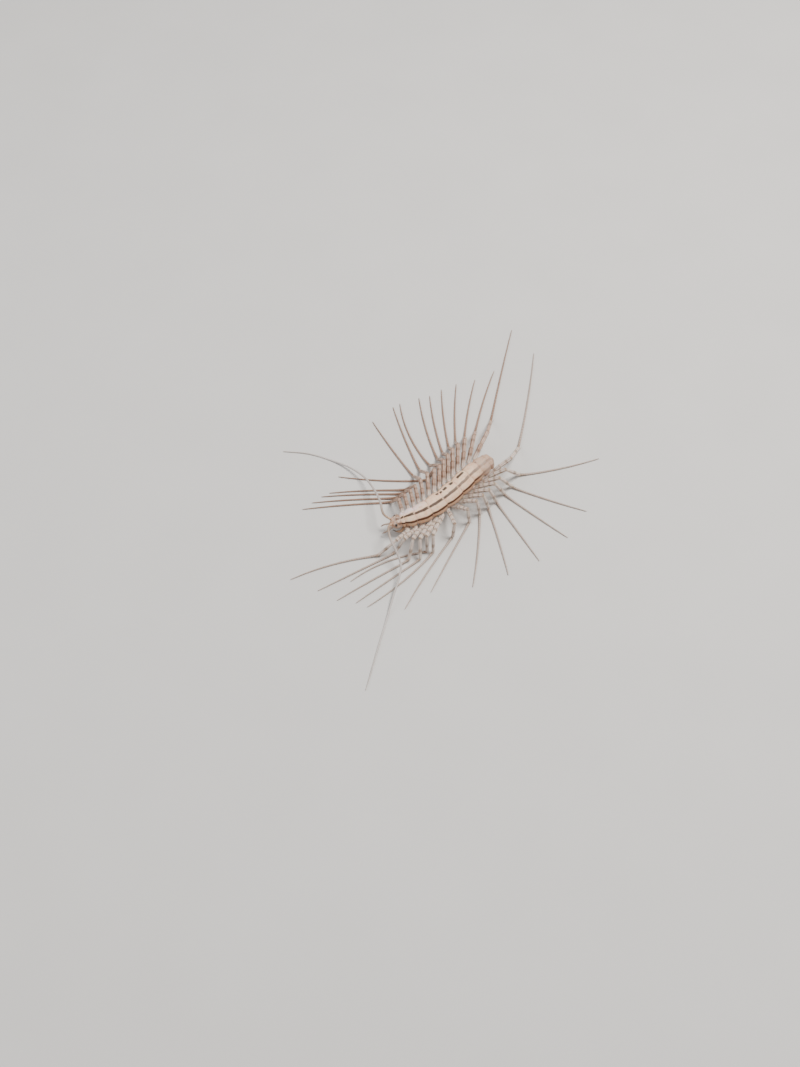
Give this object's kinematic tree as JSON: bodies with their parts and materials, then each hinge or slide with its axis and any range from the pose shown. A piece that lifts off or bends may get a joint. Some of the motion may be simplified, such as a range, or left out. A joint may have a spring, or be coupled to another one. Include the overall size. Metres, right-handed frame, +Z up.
{
  "type": "house centipede",
  "caption": "Still, life-size house centipede: low body under overlapping back plates, on long thin legs spread to both sides, with compound eyes and long feelers, standing on the floor.",
  "frame": {"origin": "middle of the model's outline seen from above, at the floor that it stands on", "axes": "+X towards the tail, +Z up, so the animal's right side is at +Y"},
  "size_m": [0.0776, 0.055, 0.0063],
  "materials": {
    "head": "satin cuticle",
    "eye": "glossy, finely faceted",
    "antenna": "satin cuticle in many short rings",
    "claw": "hard, glossy cuticle, dark at the tip",
    "palp": "satin cuticle",
    "plate": "satin, horny plates with three dark lengthwise stripes",
    "skin": "soft, matt joint skin",
    "leg": "satin, ridged cuticle in pale and dark bands"
  },
  "bodies": {
    "root": {"head": "head", "eye_left": "eye", "antenna_left": "antenna", "forcipule_left": "claw", "palp_left": "palp", "eye_right": "eye", "antenna_right": "antenna", "forcipule_right": "claw", "palp_right": "palp", "trunk_1": "plate", "trunk_2": "plate", "trunk_3": "plate", "trunk_4": "plate", "trunk_5": "plate", "trunk_6": "plate", "trunk_7": "plate", "trunk_8": "plate", "telson": "skin", "leg_left_01": "leg", "leg_left_02": "leg", "leg_left_03": "leg", "leg_left_04": "leg", "leg_left_05": "leg", "leg_left_06": "leg", "leg_left_07": "leg", "leg_left_08": "leg", "leg_left_09": "leg", "leg_left_10": "leg", "leg_left_11": "leg", "leg_left_12": "leg", "leg_left_13": "leg", "leg_left_14": "leg", "leg_left_15": "leg", "leg_right_01": "leg", "leg_right_02": "leg", "leg_right_03": "leg", "leg_right_04": "leg", "leg_right_05": "leg", "leg_right_06": "leg", "leg_right_07": "leg", "leg_right_08": "leg", "leg_right_09": "leg", "leg_right_10": "leg", "leg_right_11": "leg", "leg_right_12": "leg", "leg_right_13": "leg", "leg_right_14": "leg", "leg_right_15": "leg"}
  },
  "joints": []
}
